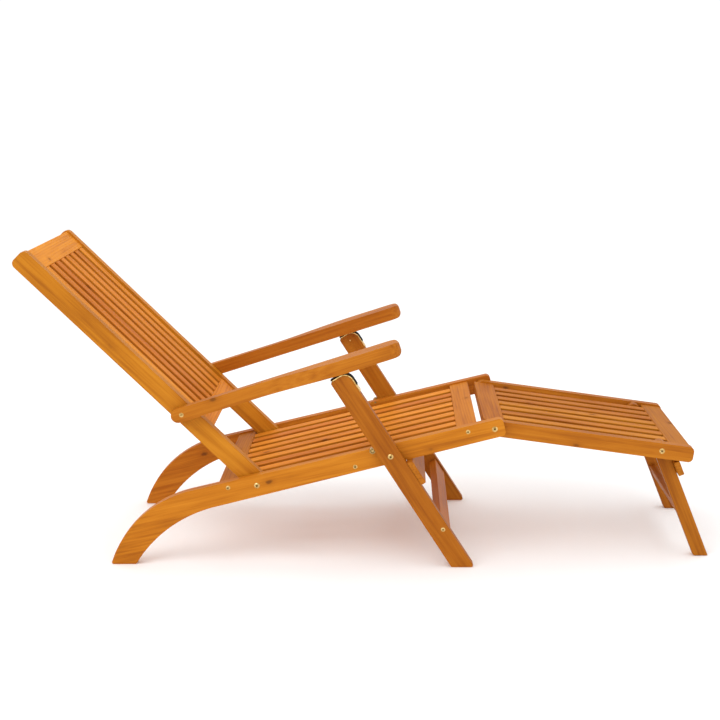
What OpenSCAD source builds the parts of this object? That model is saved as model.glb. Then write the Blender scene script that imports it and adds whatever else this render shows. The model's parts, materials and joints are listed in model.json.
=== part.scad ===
// Folding steamer lounge chair with footrest, in oiled hardwood with brass bolts. Sizes in mm.
// The floor is Z 0, the chair faces +X, the sitter's left is +Y. X 0 and Y 0 are the middle of the
// overall length and width. Every side part is a flat board on edge, drawn in its own side view.

/* [Timber] */
// Thickness of the rails, stiles and legs across the chair
wood_t = 25; // [18:0.5:32]
// Thickness of the seat, back and footrest boards and slats
slat_t = 20; // [14:0.5:26]
// Width of one slat
slat_w = 33; // [24:1:44]
// Distance from slat to slat, middle to middle
slat_pitch = 52; // [44:0.5:60]
// How far boards and slats lie below the edges of the rails
recess = 4.5; // [1:0.5:10]
// Gap between parts that turn side by side
side_gap = 1.5; // [1:0.1:3]
// Rounding of board corners at the feet
foot_r = 5; // [2:0.5:10]

/* [Seat frame] */
// Half the width over the side rails
rail_y = 260; // [230:1:300]
// Height of the back pivot above the floor
pivot_z = 208.8; // [180:0.1:260]
// Slope of the seat, degrees up towards the front
seat_slope = 13.5; // [5:0.5:20]
// Narrowing of the rail towards the front, degrees
rail_taper = 0.75; // [0:0.05:2]
// Top edge of the rail above the back pivot
rail_top = 26; // [20:0.5:35]
// Bottom edge of the rail below the back pivot
rail_bottom = 28; // [20:0.5:35]
// Back pivot to the front end of the rail
rail_front = 643; // [560:1:700]
// Rounding of the rail's front corners
rail_corner = 12; // [4:1:20]
// Radius of the rear leg's outer curve
outer_curve = 292; // [240:1:340]
// Radius of the rear leg's inner curve
inner_curve = 336; // [280:1:400]
// Where the outer curve leaves the top edge, behind the back pivot
outer_start = 165.5; // [120:0.5:200]
// Where the inner curve leaves the bottom edge, behind the back pivot
inner_start = 118.5; // [80:0.5:160]
// Rear seat board, rear edge behind the back pivot
rear_board_back = 98; // [80:1:110]
// Rear seat board, front edge behind the back pivot
rear_board_front = 47; // [45:1:60]
// Front seat board, rear edge
front_board_back = 525; // [480:1:560]
// Front seat board, front edge
front_board_front = 577; // [540:1:590]
// Batten under the slats, middle
batten_s = 253.5; // [150:0.5:350]
// Batten width along the seat
batten_w = 45; // [30:1:60]
// Batten depth
batten_t = 24; // [16:1:30]

/* [Back] */
// Back angle at rest, degrees above the floor, leaning back
back_angle = 45; // [30:1:60]
// Pivot to the top end of the stile
stile_length = 820; // [700:1:900]
// Depth of the stile
stile_w = 50; // [40:1:60]
// Rounding of the stile's top corners
stile_corner = 14; // [5:1:20]
// Lower edge of the top board
top_board_low = 754; // [650:1:780]
// Upper edge of the top board
top_board_high = 814; // [700:1:820]
// Lower edge of the bottom board
bottom_board_low = 178; // [120:1:200]
// Upper edge of the bottom board
bottom_board_high = 222; // [200:1:240]
// Pivot to the armrest bolt along the stile
arm_bolt_r = 261; // [220:1:300]

/* [Armrests] */
// Slope of the armrest at rest, degrees
arm_slope = 17.7; // [10:0.1:25]
// Thickness of the armrest
arm_t = 35; // [28:1:40]
// Bolt to the rear end
arm_tail = 27; // [20:1:35]
// Bolt to the front tip
arm_reach = 575; // [500:1:620]
// Rounding of the tip, seen from the side
arm_nose_r = 12; // [4:0.5:17]
// Width of the paddle
paddle_w = 60.5; // [45:0.5:70]
// Where the armrest starts to widen, from the bolt
widen_start = 190; // [180:5:300]
// Length over which it widens
widen_length = 250; // [100:5:280]
// Depth of the groove under the paddle that clears the leg's top when the legs fold
groove_depth = 8; // [7:0.5:12]
// Start of that groove, from the bolt
groove_start = 402; // [380:1:410]
// End of that groove, from the bolt
groove_end = 533; // [525:1:545]

/* [Front legs] */
// Leg pivot along the seat from the back pivot
leg_pivot_s = 348.4; // [300:0.1:400]
// Leg pivot above the back pivot, square to the seat
leg_pivot_h = 1.4; // [-5:0.1:5]
// Lean of the leg, degrees above the floor
leg_lean = 57.8; // [45:0.1:75]
// Width of the leg
leg_w = 50; // [40:1:60]
// Pivot to the top end of the leg
leg_top = 239; // [200:0.1:260]
// Rounding of the top front corner
leg_top_r = 21.5; // [10:0.1:24]
// Thickness of the brass strap
strap_t = 2.6; // [1:0.1:3]
// Thickness of the black wear strip on the strap
strip_t = 1.6; // [1:0.1:3]
// Lower end of the strap, above the pivot
strap_end = 182; // [150:1:200]
// Gap between the stop board's upper edge and the underside of the rail
stop_gap = 0.4; // [0.3:0.1:5]
// Lower edge of the stop board, below the pivot
stop_low = 104; // [80:1:120]
// Thickness of the stop boards
stop_t = 15; // [10:0.5:20]
// Middle of the lower crossbar, below the pivot
crossbar_u = 232; // [180:1:260]
// Width of the lower crossbar
crossbar_w = 48; // [30:1:60]
// Thickness of the lower crossbar
crossbar_t = 20; // [14:1:25]

/* [Footrest] */
// Footrest pivot along the seat from the back pivot
foot_pivot_s = 617.7; // [590:0.1:630]
// Footrest pivot above the back pivot, square to the seat
foot_pivot_h = 2.6; // [-5:0.1:8]
// Slope of the footrest, degrees down towards the front
foot_slope = 8; // [0:0.5:15]
// Depth of the footrest rail
foot_rail_w = 40; // [30:1:50]
// Pivot above the middle of the rail
foot_rail_drop = 5; // [0:0.5:10]
// Pivot to the front end of the footrest rail
foot_length = 514; // [400:1:600]
// Half the width of the rear board, which lies over the pivot
foot_rear_half = 27; // [20:1:30]
// Thickness of the footrest's slats and front board
foot_slat_t = 16; // [12:0.5:20]
// Rear edge of the front board
foot_front_back = 454; // [400:1:470]
// Front edge of the front board
foot_front_front = 510; // [480:1:512]

/* [Footrest legs] */
// Leg pivot along the footrest
fleg_pivot_s = 432.6; // [380:0.1:440]
// Lean of the leg, degrees above the floor
fleg_lean = 68; // [55:0.1:80]
// Middle of the leg's round top, above the pivot
fleg_top_rise = 2.5; // [0:0.1:4]
// Width of the leg
fleg_w = 35; // [28:1:45]
// Upper edge of the stop board, below the pivot
fstop_high = 42.5; // [41:0.5:60]
// Lower edge of the stop board, below the pivot
fstop_low = 80; // [60:0.5:100]
// Upper edge of the crossbar, below the pivot
fbar_high = 168; // [120:1:200]
// Lower edge of the crossbar, below the pivot
fbar_low = 200; // [150:1:230]
// Thickness of the crossbar
fbar_t = 18; // [12:1:22]

/* [Bolts] */
// Shaft radius of the small bolts
bolt_r = 3; // [2:0.1:4]
// Head radius of the small bolts
head_r = 5.8; // [4:0.1:7]
// Head height of the small bolts
head_h = 1.5; // [1:0.1:1.8]
// Shaft radius of the pivot bolts
pivot_r = 4; // [3:0.1:5]
// Head radius of the pivot bolts
pivot_head_r = 7.3; // [6:0.1:9]
// Head height of the pivot bolts
pivot_head_h = 3; // [1:0.1:4]
// Radial play of a bolt in its hole
play = 0.05; // [0.02:0.01:0.1]
// Radius of the stop pins behind the front legs
stop_pin_r = 7.5; // [5:0.1:9]
// Stop pin behind the leg pivot, along the seat
stop_pin_s = 41.8; // [38:0.1:50]
// Stop pin below the top edge of the rail
stop_pin_drop = 3.5; // [3.5:0.5:6]
// Length of the stop pins outside the rail
stop_pin_length = 12; // [8:1:25]

/* [Hidden] */
$fn = 64;
over = 1;
curve_steps = 24;
corner_steps = 8;
metal_gap = 0.3;
slat_count = 8;
foot_slat_count = 7;
brass = [0.78, 0.6, 0.3];
wood = [0.66, 0.34, 0.15];
pale_wood = [0.72, 0.39, 0.18];
black = [0.05, 0.05, 0.05];

rail_in = rail_y - wood_t;
stile_out = rail_in - side_gap;
stile_in = stile_out - wood_t;
fleg_out = stile_in - side_gap;
fleg_in = fleg_out - wood_t;
leg_in = rail_y + side_gap + 0.5;
leg_out = leg_in + wood_t;
arm_in = rail_in + 0.5;
arm_out = arm_in + wood_t;
slat_top = rail_top - recess;
foot_top = foot_rail_w / 2 - foot_rail_drop;

function along(a) = [cos(a), sin(a)];
function square_to(a) = [-sin(a), cos(a)];

bottom_slope = seat_slope + rail_taper;
back_pivot = [0, pivot_z];
outer_from = back_pivot - outer_start * along(seat_slope) + rail_top * square_to(seat_slope);
inner_from = back_pivot - inner_start * along(bottom_slope) - rail_bottom * square_to(bottom_slope);
outer_centre = outer_from - outer_curve * square_to(seat_slope);
inner_centre = inner_from - inner_curve * square_to(bottom_slope);
rail_low_front = -rail_bottom / cos(rail_taper) + rail_front * tan(rail_taper);
heel = [outer_centre[0] - sqrt(pow(outer_curve, 2) - pow(outer_centre[1], 2)), 0];
toe = [inner_centre[0] - sqrt(pow(inner_curve, 2) - pow(inner_centre[1], 2)), 0];

leg_pivot = back_pivot + leg_pivot_s * along(seat_slope) + leg_pivot_h * square_to(seat_slope);
foot_pivot = back_pivot + foot_pivot_s * along(seat_slope) + foot_pivot_h * square_to(seat_slope);
fleg_pivot = foot_pivot + fleg_pivot_s * along(-foot_slope) - foot_rail_drop * square_to(-foot_slope);
arm_pivot = back_pivot + arm_bolt_r * along(180 - back_angle);

// Overall length: the stile's rearmost corner rounding and the toe of the footrest leg.
rear_x = -(stile_length - stile_corner) * cos(back_angle)
    - (stile_w / 2 - stile_corner) * sin(back_angle) - stile_corner;
fleg_toe_u = (fleg_pivot[1] + fleg_w / 2 * cos(fleg_lean)) / sin(fleg_lean);
front_x = fleg_pivot[0] + fleg_toe_u * cos(fleg_lean) + fleg_w / 2 * sin(fleg_lean);
shift_x = -(rear_x + front_x) / 2;

// ---- frames: X along the part, Z square to it, origin on its pivot ----

module in_frame(point, slope) {
    translate([shift_x + point[0], 0, point[1]])
        rotate([0, -slope, 0])
            children();
}

module in_chair() {
    in_frame([0, 0], 0) children();
}

module in_seat() {
    in_frame(back_pivot, seat_slope) children();
}

// Z points to the rear of the back, away from the sitter.
module in_back() {
    in_frame(back_pivot, 180 - back_angle) children();
}

module in_arm() {
    in_frame(arm_pivot, arm_slope) children();
}

// X points down the leg, Z points forward.
module in_leg() {
    in_frame(leg_pivot, -leg_lean) children();
}

module in_footrest() {
    in_frame(foot_pivot, -foot_slope) children();
}

// X points down the leg, Z points forward.
module in_fleg() {
    in_frame(fleg_pivot, -fleg_lean) children();
}

// ---- shared shapes ----

// A side view extruded across the chair from y to y + t.
module plate(y, t) {
    translate([0, y + t, 0])
        rotate([90, 0, 0])
            linear_extrude(t)
                children();
}

// The same on one side of the chair, from y outwards; side is 1 for left and -1 for right.
module side_plate(side, y, t) {
    plate(side > 0 ? y : -y - t, t) children();
}

// A box by its two ends along each axis.
module block(x, y, z) {
    translate([x[0], y[0], z[0]])
        cube([x[1] - x[0], y[1] - y[0], z[1] - z[0]]);
}

// Points of an arc; angles in degrees, skipping the first and the last where asked.
function arc(centre, r, from, to, steps, first = 0, last = 0) =
    [for (i = [first : steps - last]) centre + r * along(from + (to - from) * i / steps)];

// Points round a corner, counter-clockwise: the edges leave it at angle a (next) and b (previous).
function rounded(corner, r, a, b) =
    let (half = (b - a) / 2)
    arc(corner + r / sin(half) * along(a + half), r, b + 90, a + 270, corner_steps);

// A hole across the whole chair.
module bore(x, z, r) {
    translate([x, -rail_y - 2 * wood_t, z])
        rotate([-90, 0, 0])
            cylinder(h = 2 * rail_y + 4 * wood_t, r = r);
}

// A bolt with a domed socket head on each side; the head sits on face_y, the shaft reaches tip_y.
module bolt_pair(x, z, tip_y, face_y, r, dome_r, dome_h) {
    for (side = [0, 1])
        mirror([0, side, 0])
            translate([x, face_y, z])
                rotate([-90, 0, 0])
                    bolt(face_y - tip_y, r, dome_r, dome_h);
}

module bolt(length, r, dome_r, dome_h) {
    sphere_r = (pow(dome_r, 2) + pow(dome_h, 2)) / (2 * dome_h);
    difference() {
        union() {
            translate([0, 0, -length]) cylinder(h = length + dome_h / 2, r = r);
            intersection() {
                translate([0, 0, dome_h - sphere_r]) sphere(sphere_r);
                cylinder(h = dome_h + over, r = dome_r);
            }
        }
        translate([0, 0, dome_h / 3]) cylinder(h = dome_h, r = r * 0.75, $fn = 6);
    }
}

// A nut or a washer round a shaft, on both sides of the chair, from y outwards.
module collar_pair(x, z, y, t, hole, r, sides) {
    for (side = [0, 1])
        mirror([0, side, 0])
            translate([x, y, z])
                rotate([-90, 0, 0])
                    difference() {
                        cylinder(h = t, r = r, $fn = sides);
                        translate([0, 0, -over]) cylinder(h = t + 2 * over, r = hole);
                    }
}

function slat_y(index, count) = (index - (count + 1) / 2) * slat_pitch;

// ---- seat frame ----

module rail_view() {
    top_front = back_pivot + rail_front * along(seat_slope) + rail_top * square_to(seat_slope);
    low_front = back_pivot + rail_front * along(seat_slope) + rail_low_front * square_to(seat_slope);
    heel_angle = atan2(-outer_centre[1], heel[0] - outer_centre[0]);
    toe_angle = atan2(-inner_centre[1], toe[0] - inner_centre[0]);
    polygon(concat(
        rounded(heel, foot_r, 0, heel_angle - 90),
        rounded(toe, foot_r, toe_angle - 90, 180),
        arc(inner_centre, inner_curve, toe_angle, bottom_slope + 90, curve_steps, 1, 0),
        rounded(low_front, rail_corner, seat_slope + 90, bottom_slope + 180),
        rounded(top_front, rail_corner, seat_slope + 180, seat_slope + 270),
        arc(outer_centre, outer_curve, seat_slope + 90, heel_angle, curve_steps, 0, 1)
    ));
}

module rail(side) {
    color(wood)
        difference() {
            in_chair() side_plate(side, rail_in, wood_t) rail_view();
            in_seat() {
                bore(0, 0, pivot_r + play);
                bore(leg_pivot_s, leg_pivot_h, pivot_r + play);
                bore(foot_pivot_s, foot_pivot_h, pivot_r + play);
                bore(rear_bolt_s, board_mid, bolt_r + play);
                bore(front_bolt_s, board_mid, bolt_r + play);
                bore(batten_s, batten_mid, bolt_r + play);
                bore(leg_pivot_s - stop_pin_s, rail_top - stop_pin_drop, bolt_r + play);
            }
        }
}

board_mid = slat_top - slat_t / 2;
rear_bolt_s = -(rear_board_back + rear_board_front) / 2;
front_bolt_s = (front_board_back + front_board_front) / 2;
batten_mid = slat_top - slat_t - batten_t / 2;
screw_depth = 35;

module seat_board(from, to) {
    color(pale_wood)
        in_seat()
            difference() {
                block([from, to], [-rail_in, rail_in], [slat_top - slat_t, slat_top]);
                bolt_ends((from + to) / 2, board_mid, rail_in, bolt_r + play);
            }
}

// Blind holes in the two ends of a board that reaches from -y to y.
module bolt_ends(x, z, y, r) {
    for (side = [0, 1])
        mirror([0, side, 0])
            translate([x, y - screw_depth - over, z])
                rotate([-90, 0, 0])
                    cylinder(h = screw_depth + 2 * over, r = r);
}

module seat_slat(index) {
    y = slat_y(index, slat_count);
    color(pale_wood)
        in_seat()
            block([-rear_board_front, front_board_back], [y - slat_w / 2, y + slat_w / 2],
                [slat_top - slat_t, slat_top]);
}

module seat_batten() {
    color(wood)
        in_seat()
            difference() {
                block([batten_s - batten_w / 2, batten_s + batten_w / 2], [-rail_in, rail_in],
                    [slat_top - slat_t - batten_t, slat_top - slat_t]);
                bolt_ends(batten_s, batten_mid, rail_in, bolt_r + play);
            }
}

module seat_bolts() {
    color(brass)
        in_seat() {
            bolt_pair(rear_bolt_s, board_mid, rail_in - screw_depth, rail_y, bolt_r, head_r, head_h);
            bolt_pair(front_bolt_s, board_mid, rail_in - screw_depth, rail_y, bolt_r, head_r, head_h);
            bolt_pair(batten_s, batten_mid, rail_in - screw_depth, rail_y, bolt_r, head_r, head_h);
        }
}

stop_pin_pocket = 4;

// A round stop on the outside of each rail, against which the front leg rests. Its outer end is
// hollow, with the end of its shaft standing in the pocket.
module leg_stop_pins() {
    color(brass)
        in_seat()
            for (side = [0, 1])
                mirror([0, side, 0])
                    translate([leg_pivot_s - stop_pin_s, rail_y, rail_top - stop_pin_drop])
                        rotate([-90, 0, 0]) {
                            translate([0, 0, -wood_t]) cylinder(h = wood_t + over, r = bolt_r);
                            difference() {
                                cylinder(h = stop_pin_length, r = stop_pin_r);
                                translate([0, 0, stop_pin_length - stop_pin_pocket])
                                    difference() {
                                        cylinder(h = wood_t, r = stop_pin_r - 2);
                                        translate([0, 0, -over])
                                            cylinder(h = stop_pin_pocket, r = bolt_r + 0.5);
                                    }
                            }
                        }
}

// ---- back ----

module stile_view() {
    half = stile_w / 2;
    polygon(concat(
        arc([0, 0], half, 90, 270, curve_steps),
        rounded([stile_length, -half], stile_corner, 90, 180),
        rounded([stile_length, half], stile_corner, 180, 270)
    ));
}

module stile(side) {
    color(wood)
        in_back()
            difference() {
                side_plate(side, stile_in, wood_t) stile_view();
                bore(0, 0, pivot_r + play);
                bore(arm_bolt_r, 0, bolt_r + play);
            }
}

module back_board(from, to) {
    color(pale_wood)
        in_back()
            block([from, to], [-stile_in, stile_in],
                [recess - stile_w / 2, recess - stile_w / 2 + slat_t]);
}

module back_slat(index) {
    y = slat_y(index, slat_count);
    color(pale_wood)
        in_back()
            block([bottom_board_high, top_board_low], [y - slat_w / 2, y + slat_w / 2],
                [recess - stile_w / 2, recess - stile_w / 2 + slat_t]);
}

nut_t = 5;

module back_pivot_bolts() {
    color(brass)
        in_back() {
            bolt_pair(0, 0, stile_in - nut_t, rail_y, pivot_r, pivot_head_r, pivot_head_h);
            collar_pair(0, 0, stile_in - nut_t - metal_gap, nut_t, pivot_r - over, pivot_head_r, 6);
        }
}

// ---- armrests ----

module arm_side_view() {
    end_r = arm_t / 2;
    polygon(concat(
        arc([end_r - arm_tail, 0], end_r, 90, 270, curve_steps),
        rounded([arm_reach, -end_r], arm_nose_r, 90, 180),
        rounded([arm_reach, end_r], arm_nose_r, 180, 270)
    ));
}

// Seen from above: Y 0 is the inner edge, which is straight. The outer edge widens along half a
// cosine wave, and the tip is half round.
module arm_plan() {
    tip_r = paddle_w / 2;
    polygon(concat(
        [[-arm_tail - over, 0]],
        arc([arm_reach - tip_r, tip_r], tip_r, -90, 90, curve_steps),
        [for (i = [0 : curve_steps])
            [widen_start + widen_length * (1 - i / curve_steps),
                wood_t + (paddle_w - wood_t) * (1 + cos(180 * i / curve_steps)) / 2]],
        [[-arm_tail - over, wood_t]]
    ));
}

module armrest(side) {
    color(pale_wood)
        mirror([0, side > 0 ? 0 : 1, 0])
            in_arm()
                difference() {
                    intersection() {
                        plate(arm_in, paddle_w) arm_side_view();
                        translate([0, arm_in, -arm_t / 2]) linear_extrude(arm_t) arm_plan();
                    }
                    bore(0, 0, bolt_r + play);
                    block([groove_start, groove_end], [leg_in - side_gap, leg_out + side_gap],
                        [-arm_t / 2 - over, groove_depth - arm_t / 2]);
                }
}

module armrest_bolts() {
    color(brass)
        in_arm() {
            bolt_pair(0, 0, stile_in - nut_t, arm_out, bolt_r, head_r, head_h);
            collar_pair(0, 0, stile_in - nut_t - metal_gap, nut_t, bolt_r - over, head_r, 6);
        }
}

// ---- front legs ----

function leg_foot(v) = [(leg_pivot[1] + v * cos(leg_lean)) / sin(leg_lean), v];

module leg_view() {
    half = leg_w / 2;
    polygon(concat(
        rounded([-leg_top, -half], foot_r, 0, 90),
        rounded(leg_foot(-half), foot_r, leg_lean, 180),
        rounded(leg_foot(half), foot_r, 180, 180 + leg_lean),
        rounded([-leg_top, half], leg_top_r, 270, 360)
    ));
}

module front_leg(side) {
    color(wood)
        in_leg()
            difference() {
                side_plate(side, leg_in, wood_t) leg_view();
                bore(0, 0, pivot_r + play);
                bore(crossbar_u, crossbar_t / 2, bolt_r + play);
            }
}

// A strip of thickness t bent over the leg's top front corner, gap away from the leg.
module strip_view(gap, t, rear, low) {
    front = leg_w / 2 + gap;
    bend = [leg_top_r - leg_top, leg_w / 2 - leg_top_r];
    polygon(concat(
        [[-leg_top - gap - t, rear], [-leg_top - gap, rear]],
        arc(bend, leg_top_r + gap, 180, 90, corner_steps),
        [[-low, front], [-low, front + t]],
        arc(bend, leg_top_r + gap + t, 90, 180, corner_steps)
    ));
}

strap_rear = -19;
strip_rear = -22;
strap_margin = 1;
strip_short = 18;

module leg_strip_pair(gap, t, rear, low) {
    in_leg()
        for (side = [-1, 1])
            side_plate(side, leg_in + strap_margin, wood_t - 2 * strap_margin)
                strip_view(gap, t, rear, low);
}

module leg_straps() {
    color(brass) leg_strip_pair(metal_gap, strap_t, strap_rear, strap_end);
}

module leg_wear_strips() {
    color(black) leg_strip_pair(2 * metal_gap + strap_t, strip_t, strip_rear, strap_end + strip_short);
}

top_screw_u = -221;
screw_r = 2.4;

// One screw through the inner face of each leg just under its top.
module leg_strap_screws() {
    color(brass)
        in_leg()
            for (side = [0, 1])
                mirror([0, side, 0])
                    translate([top_screw_u, leg_in, 0])
                        rotate([90, 0, 0])
                            intersection() {
                                translate([0, 0, 0.8 - 4]) sphere(4);
                                cylinder(h = 1, r = screw_r);
                            }
}

// Distance below the leg pivot, along the leg, of the rail's underside at v in front of it.
function rail_under(v) =
    let (low = leg_pivot_h + rail_bottom / cos(rail_taper) - leg_pivot_s * tan(rail_taper),
        lean = leg_lean + bottom_slope)
    (low * cos(rail_taper) + v * cos(lean)) / sin(lean);

// Its upper edge is cut to the slope of the rails, against whose undersides it bears.
module leg_stop_board() {
    v = [leg_w / 2, leg_w / 2 + stop_t];
    color(wood)
        in_leg()
            plate(-leg_out, 2 * leg_out)
                polygon([
                    [rail_under(v[0]) + stop_gap, v[0]], [stop_low, v[0]],
                    [stop_low, v[1]], [rail_under(v[1]) + stop_gap, v[1]]
                ]);
}

module leg_crossbar() {
    color(wood)
        in_leg()
            difference() {
                block([crossbar_u - crossbar_w / 2, crossbar_u + crossbar_w / 2], [-leg_in, leg_in],
                    [0, crossbar_t]);
                bolt_ends(crossbar_u, crossbar_t / 2, leg_in, bolt_r + play);
            }
}

module leg_pivot_bolts() {
    color(brass)
        in_leg() {
            bolt_pair(0, 0, rail_in - nut_t, leg_out, pivot_r, pivot_head_r, pivot_head_h);
            collar_pair(0, 0, rail_in - nut_t - metal_gap, nut_t, pivot_r - over, pivot_head_r, 6);
        }
}

module leg_crossbar_bolts() {
    color(brass)
        in_leg()
            bolt_pair(crossbar_u, crossbar_t / 2, leg_in - screw_depth, leg_out,
                bolt_r, head_r, head_h);
}

// ---- footrest ----

module foot_rail_view() {
    half = foot_rail_w / 2;
    polygon(concat(
        arc([0, -foot_rail_drop], half, 90, 270, curve_steps),
        rounded([foot_length, -foot_rail_drop - half], rail_corner, 90, 180),
        rounded([foot_length, half - foot_rail_drop], rail_corner, 180, 270)
    ));
}

module footrest_rail(side) {
    color(wood)
        in_footrest()
            difference() {
                side_plate(side, stile_in, wood_t) foot_rail_view();
                bore(0, 0, pivot_r + play);
                bore(fleg_pivot_s, -foot_rail_drop, pivot_r + play);
            }
}

module footrest_rear_board() {
    color(pale_wood)
        in_footrest()
            difference() {
                block([-foot_rear_half, foot_rear_half], [-stile_in, stile_in],
                    [foot_top - recess - slat_t, foot_top - recess]);
                bolt_ends(0, 0, stile_in, pivot_r + play);
            }
}

module footrest_front_board() {
    color(pale_wood)
        in_footrest()
            block([foot_front_back, foot_front_front], [-stile_in, stile_in],
                [foot_top - recess - foot_slat_t, foot_top - recess]);
}

module footrest_slat(index) {
    y = slat_y(index, foot_slat_count);
    color(pale_wood)
        in_footrest()
            block([foot_rear_half, foot_front_back], [y - slat_w / 2, y + slat_w / 2],
                [foot_top - recess - foot_slat_t, foot_top - recess]);
}

module footrest_pivot_bolts() {
    color(brass)
        in_footrest()
            bolt_pair(0, 0, stile_in - screw_depth, rail_y, pivot_r, pivot_head_r, head_h);
}

// ---- footrest legs ----

function fleg_foot(v) = [(fleg_pivot[1] + v * cos(fleg_lean)) / sin(fleg_lean), v];

module fleg_view() {
    half = fleg_w / 2;
    polygon(concat(
        arc([-fleg_top_rise, 0], half, 90, 270, curve_steps),
        rounded(fleg_foot(-half), foot_r, fleg_lean, 180),
        [fleg_foot(half)]
    ));
}

module footrest_leg(side) {
    color(wood)
        in_fleg()
            difference() {
                side_plate(side, fleg_in, wood_t) fleg_view();
                bore(0, 0, pivot_r + play);
            }
}

module footrest_leg_stop_board() {
    color(wood)
        in_fleg()
            block([fstop_high, fstop_low], [-stile_out, stile_out],
                [fleg_w / 2, fleg_w / 2 + stop_t]);
}

module footrest_leg_crossbar() {
    rear = 2.5 - fleg_w / 2;
    color(wood)
        in_fleg()
            block([fbar_high, fbar_low], [-fleg_in, fleg_in], [rear, rear + fbar_t]);
}

module footrest_leg_bolts() {
    color(brass)
        in_fleg() {
            bolt_pair(0, 0, fleg_in - nut_t, stile_out, pivot_r, pivot_head_r, side_gap - 0.4);
            collar_pair(0, 0, fleg_in - nut_t - metal_gap, nut_t, pivot_r - over, pivot_head_r, 6);
        }
}

rail(1);  // rail_left
rail(-1);  // rail_right
seat_board(-rear_board_back, -rear_board_front);  // seat_rear_board
seat_board(front_board_back, front_board_front);  // seat_front_board
seat_slat(1);  // seat_slat_1
seat_slat(2);  // seat_slat_2
seat_slat(3);  // seat_slat_3
seat_slat(4);  // seat_slat_4
seat_slat(5);  // seat_slat_5
seat_slat(6);  // seat_slat_6
seat_slat(7);  // seat_slat_7
seat_slat(8);  // seat_slat_8
seat_batten();
seat_bolts();
leg_stop_pins();
stile(1);  // back_stile_left
stile(-1);  // back_stile_right
back_board(top_board_low, top_board_high);  // back_top_board
back_board(bottom_board_low, bottom_board_high);  // back_bottom_board
back_slat(1);  // back_slat_1
back_slat(2);  // back_slat_2
back_slat(3);  // back_slat_3
back_slat(4);  // back_slat_4
back_slat(5);  // back_slat_5
back_slat(6);  // back_slat_6
back_slat(7);  // back_slat_7
back_slat(8);  // back_slat_8
back_pivot_bolts();
armrest(1);  // armrest_left
armrest(-1);  // armrest_right
armrest_bolts();
front_leg(1);  // front_leg_left
front_leg(-1);  // front_leg_right
leg_straps();
leg_wear_strips();
leg_strap_screws();
leg_stop_board();
leg_crossbar();
leg_pivot_bolts();
leg_crossbar_bolts();
footrest_rail(1);  // footrest_rail_left
footrest_rail(-1);  // footrest_rail_right
footrest_rear_board();
footrest_front_board();
footrest_slat(1);  // footrest_slat_1
footrest_slat(2);  // footrest_slat_2
footrest_slat(3);  // footrest_slat_3
footrest_slat(4);  // footrest_slat_4
footrest_slat(5);  // footrest_slat_5
footrest_slat(6);  // footrest_slat_6
footrest_slat(7);  // footrest_slat_7
footrest_pivot_bolts();
footrest_leg(1);  // footrest_leg_left
footrest_leg(-1);  // footrest_leg_right
footrest_leg_stop_board();
footrest_leg_crossbar();
footrest_leg_bolts();
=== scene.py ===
import json
import math
import zlib

import bmesh
import bpy
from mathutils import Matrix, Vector


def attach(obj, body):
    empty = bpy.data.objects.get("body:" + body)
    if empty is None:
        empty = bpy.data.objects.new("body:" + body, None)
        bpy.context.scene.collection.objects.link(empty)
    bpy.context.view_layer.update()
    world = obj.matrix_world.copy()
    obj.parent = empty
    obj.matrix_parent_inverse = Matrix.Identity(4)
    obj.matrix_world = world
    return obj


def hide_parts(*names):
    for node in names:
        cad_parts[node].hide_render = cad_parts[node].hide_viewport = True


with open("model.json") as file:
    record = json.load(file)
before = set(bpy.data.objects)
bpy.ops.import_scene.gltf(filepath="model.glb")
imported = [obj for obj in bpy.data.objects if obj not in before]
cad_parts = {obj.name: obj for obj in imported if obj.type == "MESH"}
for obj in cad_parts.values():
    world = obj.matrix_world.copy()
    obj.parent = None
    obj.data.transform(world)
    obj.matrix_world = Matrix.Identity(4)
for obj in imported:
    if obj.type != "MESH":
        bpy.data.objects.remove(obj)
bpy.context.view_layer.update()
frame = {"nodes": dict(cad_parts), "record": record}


# ---------------------------------------------------------------- camera

CAMERA_PLACE = (0.0661, -3.5316, 1.2374)
PITCH = math.radians(12.157)
YAW = math.radians(-0.287)
SENSOR_WIDTH = 36.0
FOCAL_LENGTH = 67.48
SHIFT = (-0.0592, 0.0005)
FARTHEST = 200.0

camera_data = bpy.data.cameras.new("camera")
camera_data.sensor_width = SENSOR_WIDTH
camera_data.lens = FOCAL_LENGTH
camera_data.shift_x, camera_data.shift_y = SHIFT
camera_data.clip_end = FARTHEST
camera = bpy.data.objects.new("camera", camera_data)
camera.location = CAMERA_PLACE
camera.rotation_euler = (math.pi / 2 - PITCH, 0.0, YAW)
bpy.context.scene.collection.objects.link(camera)
bpy.context.scene.camera = camera

# ---------------------------------------------------------------- studio

SKY_STRENGTH = 1.06


def area_light(name, location, target, size, energy):
    """A rectangular lamp at location that faces target; sizes in metres, energy in watts."""
    data = bpy.data.lights.new(name, "AREA")
    data.shape = "RECTANGLE"
    data.size, data.size_y = size
    data.energy = energy
    light = bpy.data.objects.new(name, data)
    light.location = location
    direction = Vector(target) - Vector(location)
    light.rotation_euler = direction.to_track_quat("-Z", "Y").to_euler()
    bpy.context.scene.collection.objects.link(light)


area_light("key_light", (-1.6, -2.2, 3.2), (0.1, 0.0, 0.3), (2.6, 2.0), 42.0)
area_light("top_light", (0.6, 0.6, 3.6), (0.0, 0.0, 0.2), (3.4, 3.0), 14.0)
area_light("fill_light", (2.4, -3.2, 1.4), (0.1, 0.0, 0.3), (2.4, 2.0), 10.0)

world = bpy.data.worlds.new("studio")
world.use_nodes = True
sky = world.node_tree.nodes["Background"]
sky.inputs["Color"].default_value = (1.0, 1.0, 1.0, 1.0)
sky.inputs["Strength"].default_value = SKY_STRENGTH
bpy.context.scene.world = world
bpy.context.scene.view_settings.view_transform = "Standard"

# ---------------------------------------------------------------- materials

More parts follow.
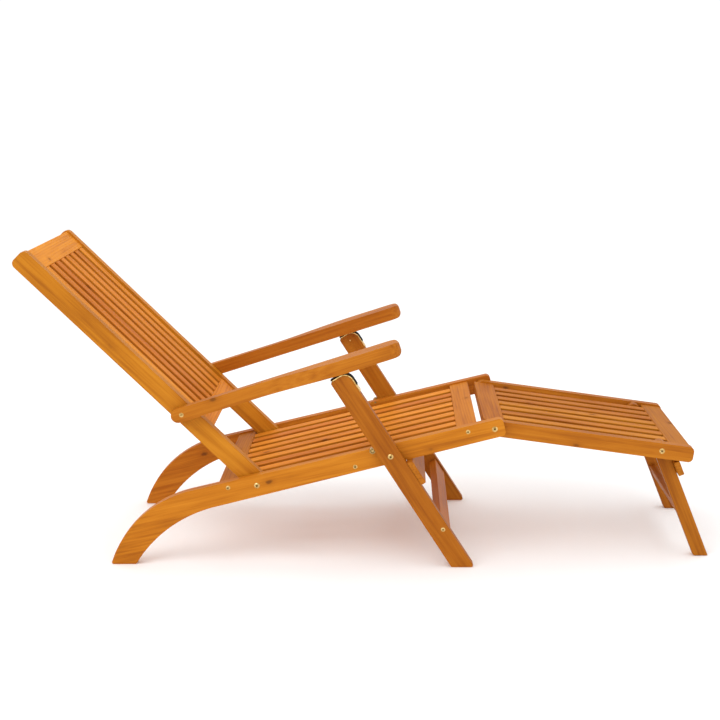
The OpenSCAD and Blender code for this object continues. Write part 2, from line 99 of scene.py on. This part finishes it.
KNOT_COLOR = (0.11, 0.028, 0.006)
RINGS_PER_METRE = 900.0 / (2.0 * math.pi)
KNOT_CELLS_PER_METRE = 14.0


class Graph:
    """A material's nodes, added one by one."""

    def __init__(self, name):
        self.material = bpy.data.materials.new(name)
        self.material.use_nodes = True
        self.tree = self.material.node_tree
        self.shader = self.tree.nodes["Principled BSDF"]

    def node(self, kind, settings=(), **inputs):
        made = self.tree.nodes.new(kind)
        for key, value in dict(settings).items():
            setattr(made, key, value)
        for key, value in inputs.items():
            self.plug(made.inputs[key.replace("_", " ")], value)
        return made

    def plug(self, socket, value):
        if isinstance(value, bpy.types.NodeSocket):
            self.tree.links.new(value, socket)
        else:
            socket.default_value = value

    def math(self, operation, *values):
        made = self.tree.nodes.new("ShaderNodeMath")
        made.operation = operation
        for socket, value in zip(made.inputs, values):
            self.plug(socket, value)
        return made.outputs[0]

    def vector(self, operation, *values):
        made = self.tree.nodes.new("ShaderNodeVectorMath")
        made.operation = operation
        for socket, value in zip(made.inputs, values):
            self.plug(socket, value)
        return made.outputs["Value" if operation == "LENGTH" else "Vector"]

    def noise(self, vector, scale, detail=3.0, roughness=0.5):
        stretched = self.vector("MULTIPLY", vector, scale)
        made = self.node("ShaderNodeTexNoise", Vector=stretched, Scale=1.0, Detail=detail,
                         Roughness=roughness)
        return made.outputs["Fac"]

    def ramp(self, value, stops):
        made = self.node("ShaderNodeValToRGB", Fac=value)
        elements = made.color_ramp.elements
        while len(elements) < len(stops):
            elements.new(0.5)
        for element, (place, color) in zip(elements, stops):
            element.position = place
            element.color = (*color, 1.0)
        return made.outputs["Color"]

    def remap(self, value, low, high, to_low=0.0, to_high=1.0):
        made = self.node("ShaderNodeMapRange", Value=value)
        made.interpolation_type = "SMOOTHSTEP"
        made.inputs["From Min"].default_value = low
        made.inputs["From Max"].default_value = high
        made.inputs["To Min"].default_value = to_low
        made.inputs["To Max"].default_value = to_high
        return made.outputs["Result"]

    def attribute(self, name, output):
        return self.node("ShaderNodeAttribute", {"attribute_name": name}).outputs[output]

    def mix(self, factor, a, b):
        made = self.tree.nodes.new("ShaderNodeMix")
        made.data_type = "RGBA"
        self.plug(made.inputs[0], factor)
        self.plug(made.inputs[6], a if isinstance(a, bpy.types.NodeSocket) else (*a, 1.0))
        self.plug(made.inputs[7], b if isinstance(b, bpy.types.NodeSocket) else (*b, 1.0))
        return made.outputs[2]

    def set(self, name, value):
        self.plug(self.shader.inputs[name], value)


def wood_material(name, gloss, dark, middle, light):
    """Oiled timber. Each piece brings its grain's place, its own tone, its lightness (partly
    painted light and shade) and the painted shade on the sides of its slats.
    """
    g = Graph(name)
    grain = g.attribute("grain", "Vector")
    tone = g.attribute("tone", "Fac")
    shade = g.attribute("shade", "Fac")
    gap = g.attribute("gap", "Fac")

    # growth rings round a pith that lies outside the board, bent by a slow noise
    bend = g.noise(grain, (2.2, 9.0, 9.0), 2.0)
    across = g.vector("MULTIPLY", grain, (0.0, 1.0, 1.0))
    radius = g.vector("LENGTH", across)
    radius = g.math("ADD", radius, g.math("MULTIPLY", bend, 0.02))
    rings = g.math("SINE", g.math("MULTIPLY", radius, 2.0 * math.pi * RINGS_PER_METRE))
    rings = g.math("MULTIPLY_ADD", rings, 0.5, 0.5)

    streaks = g.noise(grain, (4.0, 150.0, 150.0), 4.0, 0.6)
    fibres = g.noise(grain, (14.0, 700.0, 700.0), 3.0, 0.6)
    clouds = g.noise(grain, (4.0, 16.0, 16.0), 2.0)
    mixed = g.math("MULTIPLY", rings, 0.06)
    mixed = g.math("MULTIPLY_ADD", streaks, 0.44, mixed)
    mixed = g.math("MULTIPLY_ADD", fibres, 0.14, mixed)
    mixed = g.math("MULTIPLY_ADD", clouds, 0.38, mixed)
    color = g.ramp(mixed, [(0.38, dark), (0.51, middle), (0.64, light)])

    # pores: short dark dashes along the grain
    pores = g.remap(g.noise(grain, (55.0, 1500.0, 1500.0), 2.0), 0.62, 0.74)
    color = g.mix(g.math("MULTIPLY", pores, 0.22), color, dark)

    # a small dark knot here and there
    cells = g.node("ShaderNodeTexVoronoi", Vector=g.vector("MULTIPLY", grain, (0.55, 1.0, 1.0)),
                   Scale=KNOT_CELLS_PER_METRE)
    wobble = g.noise(grain, (90.0, 90.0, 90.0), 2.0)
    distance = g.math("MULTIPLY_ADD", wobble, 0.06, cells.outputs["Distance"])
    halo = g.remap(distance, 0.27, 0.08)
    core = g.remap(distance, 0.13, 0.06)
    color = g.mix(g.math("MULTIPLY", halo, 0.5), color, dark)
    color = g.mix(g.math("MULTIPLY", core, 0.8), color, KNOT_COLOR)

    # edges painted paler, partly rubbed wear and partly a painted highlight along the rounded
    # edges; and each piece a hue of its own
    point = g.node("ShaderNodeNewGeometry").outputs["Pointiness"]
    worn_and_highlit = g.math("MULTIPLY", g.remap(point, 0.505, 0.56), g.remap(streaks, 0.35, 0.6, 0.3, 1.0))
    color = g.mix(g.math("MULTIPLY", worn_and_highlit, 0.22), color, light)
    hue = g.node("ShaderNodeHueSaturation", Color=color)
    g.plug(hue.inputs["Hue"], g.math("MULTIPLY_ADD", tone, 0.010, 0.495))

    # each piece's lightness, partly its own tone and partly painted light and shade; and painted
    # shade on the sides of the slats, down in the gaps between them
    gap_shade_facing = g.node("ShaderNodeSeparateXYZ", Vector=g.node("ShaderNodeTexCoord").outputs["Normal"])
    gap_shade_facing = g.math("ABSOLUTE", gap_shade_facing.outputs["Y"])
    g.plug(hue.inputs["Value"],
           g.math("MULTIPLY", shade, g.math("SUBTRACT", 1.0, g.math("MULTIPLY", gap_shade_facing, gap))))
    g.set("Base Color", hue.outputs["Color"])

    rough = g.math("MULTIPLY_ADD", streaks, 0.22, 0.38)
    g.set("Roughness", g.math("MULTIPLY_ADD", core, 0.1, rough))
    g.set("Specular IOR Level", gloss)
    height = g.math("MULTIPLY_ADD", fibres, 0.5, g.math("MULTIPLY", streaks, 0.5))
    height = g.math("SUBTRACT", height, g.math("MULTIPLY", pores, 0.6))
    bump = g.node("ShaderNodeBump", Strength=0.3, Distance=0.0004, Height=height)
    g.set("Normal", bump.outputs["Normal"])
    return g.material


def brass_material():
    g = Graph("brass")
    place = g.node("ShaderNodeTexCoord").outputs["Object"]
    stain = g.noise(place, (160.0, 160.0, 160.0), 4.0)
    color = g.ramp(stain, [(0.35, (0.47, 0.27, 0.07)), (0.55, (0.82, 0.54, 0.19)),
                           (0.75, (0.94, 0.7, 0.33))])
    # painted shade, partly dirt, darkening the sockets and other hollows
    point = g.node("ShaderNodeNewGeometry").outputs["Pointiness"]
    color = g.mix(g.remap(point, 0.47, 0.36), color, (0.12, 0.07, 0.02))
    # each metal part's listed lightness, partly painted light and shade
    hue = g.node("ShaderNodeHueSaturation", Color=color, Value=g.attribute("shade", "Fac"))
    g.set("Base Color", hue.outputs["Color"])
    g.set("Metallic", 0.75)
    g.set("Roughness", g.remap(g.noise(place, (400.0, 400.0, 400.0), 3.0), 0.3, 0.7, 0.2, 0.4))
    return g.material


def rubber_material():
    g = Graph("black_strip")
    place = g.node("ShaderNodeTexCoord").outputs["Object"]
    speck = g.noise(place, (900.0, 900.0, 900.0), 3.0)
    g.set("Base Color", g.ramp(speck, [(0.3, (0.006, 0.006, 0.006)), (0.7, (0.02, 0.018, 0.016))]))
    g.set("Roughness", g.remap(speck, 0.3, 0.7, 0.7, 0.9))
    g.set("Specular IOR Level", 0.15)
    bump = g.node("ShaderNodeBump", Strength=0.2, Distance=0.0002, Height=speck)
    g.set("Normal", bump.outputs["Normal"])
    return g.material


def floor_material():
    g = Graph("studio_floor")
    place = g.node("ShaderNodeTexCoord").outputs["Object"]
    speck = g.noise(place, (3.0, 3.0, 3.0), 2.0)
    g.set("Base Color", g.ramp(speck, [(0.3, (0.965, 0.965, 0.965)), (0.7, (0.98, 0.98, 0.98))]))
    g.set("Roughness", 0.9)
    g.set("Specular IOR Level", 0.0)
    return g.material


MATERIALS = {
    "frame_wood": wood_material("frame_wood", 0.1, (0.345, 0.087, 0.005), (0.485, 0.142, 0.008),
                                (0.575, 0.189, 0.014)),
    "board_wood": wood_material("board_wood", 0.04, (0.38, 0.100, 0.007), (0.535, 0.165, 0.013),
                                (0.63, 0.222, 0.025)),
    "brass": brass_material(),
    "black_strip": rubber_material(),
}

# ---------------------------------------------------------------- pieces

# radius of the rounded edges in metres, and the number of segments across them
ARMREST_EDGE = (0.0065, 4)
WOOD_EDGE = (0.0025, 3)
METAL_EDGE = (0.0003, 2)

SAME_PLACE = 1e-6
FLAT_ANGLE = math.radians(0.6)
EASED_ANGLE = math.radians(30)
SHARP_ANGLE = math.radians(42)

# the sides of the groove under an armrest, measured from the middle of the chair
GROOVE_SIDES = (0.2603, 0.2887)

# direction of the length of each part, as degrees above +X in the side view
SLOPES = {"rail": 13.5, "seat": 13.5, "back": 135.0, "armrest": 17.7, "front": -57.8,
          "leg": -57.8, "footrest": -8.0, "footrest_leg": -68.0}


def slope_of(node):
    if node.startswith("footrest_leg"):
        return SLOPES["footrest_leg"]
    return SLOPES[node.split("_")[0]]


def runs_across(node):
    return node.endswith(("_board", "_batten", "_crossbar"))


def random_numbers(node, count):
    """The same few numbers between 0 and 1 for a name on every run."""
    return [(zlib.crc32(f"{node}:{i}".encode()) % 9973) / 9973.0 for i in range(count)]


def in_groove(node, co):
    """True inside the groove under an armrest's paddle, whose edges stay sharp."""
    return node.startswith("armrest") and GROOVE_SIDES[0] < abs(co.y) < GROOVE_SIDES[1]


def eased(node, edge):
    """True for an outer corner edge, which is rounded."""
    if len(edge.link_faces) != 2 or edge.calc_face_angle(0.0) < EASED_ANGLE:
        return False
    if not edge.is_convex:
        return False
    return not all(in_groove(node, v.co) for v in edge.verts)


def finished_mesh(node, radius, segments):
    """The CAD node's mesh with flat faces joined and its edges rounded."""
    bm = bmesh.new()
    bm.from_mesh(frame["nodes"][node].data)
    bmesh.ops.remove_doubles(bm, verts=bm.verts, dist=SAME_PLACE)
    bmesh.ops.dissolve_limit(bm, angle_limit=FLAT_ANGLE, verts=bm.verts, edges=bm.edges)
    edges = [e for e in bm.edges if eased(node, e)]
    bmesh.ops.bevel(bm, geom=edges, offset=radius, offset_type="OFFSET", segments=segments,
                    profile=0.5, affect="EDGES", clamp_overlap=True)
    for face in bm.faces:
        face.smooth = True
    for edge in bm.edges:
        if edge.calc_face_angle(0.0) > SHARP_ANGLE:
            edge.smooth = False
    mesh = bpy.data.meshes.new(node + "_piece")
    bm.to_mesh(mesh)
    bm.free()
    return mesh


def grain_axes(node):
    """Unit vectors along a piece's grain, across it and square to both."""
    angle = math.radians(slope_of(node))
    length = Vector((math.cos(angle), 0.0, math.sin(angle)))
    square = Vector((-math.sin(angle), 0.0, math.cos(angle)))
    across = Vector((0.0, 1.0, 0.0))
    if runs_across(node):
        return across, length, square
    return length, across, square


# how light each part's wood is beside the side rails: partly the boards' own tones, partly painted
# light and shade for how each part sits in the light
LIGHTNESS_AND_PAINTED_LIGHT = {"front_leg": 0.75, "leg": 0.8, "leg_crossbar": 0.95, "footrest_leg": 0.74,
          "armrest": 0.85, "back_stile": 1.01, "back": 1.11, "seat_slat": 1.18,
          "footrest_slat": 0.88, "footrest_rail": 0.85, "footrest": 0.78, "seat": 0.97,
          "footrest_front": 0.72, "seat_front": 0.93, "seat_rear": 0.78, "rail": 0.96}
# how light each metal part is: partly the brass's own tone, partly painted light and shade; the
# stop pins are darkened most, as painted shade
METAL_LIGHTNESS_AND_PAINTED_SHADE = {"leg_straps": 1.05, "leg_strap_screws": 1.0, "leg_stop_pins": 0.6}
OTHER_METAL_LIGHTNESS_AND_PAINTED_LIGHT = 0.8

# how much darker the sides of a slat are, as painted shade in the gaps, and the yellower hue of the
# back's stiles
SLAT_GAP_PAINTED_SHADE = 0.38
STILE_TONE = 1.3


def shade_of(node):
    """The lightness, partly painted light and shade, listed for the longest name that the node's
    name starts with.
    """
    return LIGHTNESS_AND_PAINTED_LIGHT[max((key for key in LIGHTNESS_AND_PAINTED_LIGHT if node.startswith(key)), key=len)]


def fill(mesh, **values):
    """Gives the whole mesh one value of each named attribute."""
    for name, value in values.items():
        mesh.attributes.new(name, "FLOAT", "POINT").data.foreach_set(
            "value", [value] * len(mesh.vertices))


def add_grain(node, mesh):
    """Places the piece in the grain's own space, a little turned and shifted, and gives it its
    lightness, partly painted light and shade, and the painted shade on its slat sides.
    """
    length, width, depth = grain_axes(node)
    middle = sum((v.co for v in mesh.vertices), Vector()) / len(mesh.vertices)
    a, b, c, d, e, tone = random_numbers(node, 6)
    tilt = (a - 0.5) * 0.03
    shift = Vector((b * 7.0 + 1.0, 0.05 + c * 0.08, (d - 0.5) * 0.09))
    places = []
    for vertex in mesh.vertices:
        p = vertex.co - middle
        along = p.dot(length)
        places += [along + shift.x, p.dot(width) + shift.y + tilt * along,
                   p.dot(depth) + shift.z + (e - 0.5) * 0.02 * along]
    mesh.attributes.new("grain", "FLOAT_VECTOR", "POINT").data.foreach_set("vector", places)
    slat = "_slat_" in node
    shade = shade_of(node) * ((0.9 + 0.2 * tone) if slat else (0.95 + 0.1 * tone))
    gap = SLAT_GAP_PAINTED_SHADE if slat else 0.0
    if node.startswith("back_stile"):
        tone = STILE_TONE
    fill(mesh, tone=tone, shade=shade, gap=gap)


def make_piece(node, body, slot):
    """The visible piece that stands for a CAD node."""
    wood = slot in ("frame_wood", "board_wood")
    if node.startswith("armrest_") and wood:
        radius, segments = ARMREST_EDGE
    elif wood:
        radius, segments = WOOD_EDGE
    else:
        radius, segments = METAL_EDGE
    mesh = finished_mesh(node, radius, segments)
    mesh.materials.clear()
    mesh.materials.append(MATERIALS[slot])
    if wood:
        add_grain(node, mesh)
    elif slot == "brass":
        fill(mesh, shade=METAL_LIGHTNESS_AND_PAINTED_SHADE.get(node, OTHER_METAL_LIGHTNESS_AND_PAINTED_LIGHT))
    piece = bpy.data.objects.new(node + "_piece", mesh)
    bpy.context.scene.collection.objects.link(piece)
    weighted = piece.modifiers.new("normals", "WEIGHTED_NORMAL")
    weighted.keep_sharp = True
    weighted.weight = 80
    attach(piece, body)
    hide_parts(node)


slots = {part["node"]: part["material_slot"] for part in frame["record"]["subparts"]}
for body, nodes in frame["record"]["behaviour"]["bodies"].items():
    for node in nodes:
        make_piece(node, body, slots[node])

# ---------------------------------------------------------------- floor

FLOOR_REACH = 40.0
FLOOR_DROP = 0.0005

corners = [(x * FLOOR_REACH, y * FLOOR_REACH, 0.0) for x, y in ((-1, -1), (1, -1), (1, 1), (-1, 1))]
floor_mesh = bpy.data.meshes.new("studio_floor")
floor_mesh.from_pydata(corners, [], [(0, 1, 2, 3)])
floor_mesh.materials.append(floor_material())
floor = bpy.data.objects.new("studio_floor", floor_mesh)
floor.location = (0.0, 0.0, -FLOOR_DROP)
bpy.context.scene.collection.objects.link(floor)
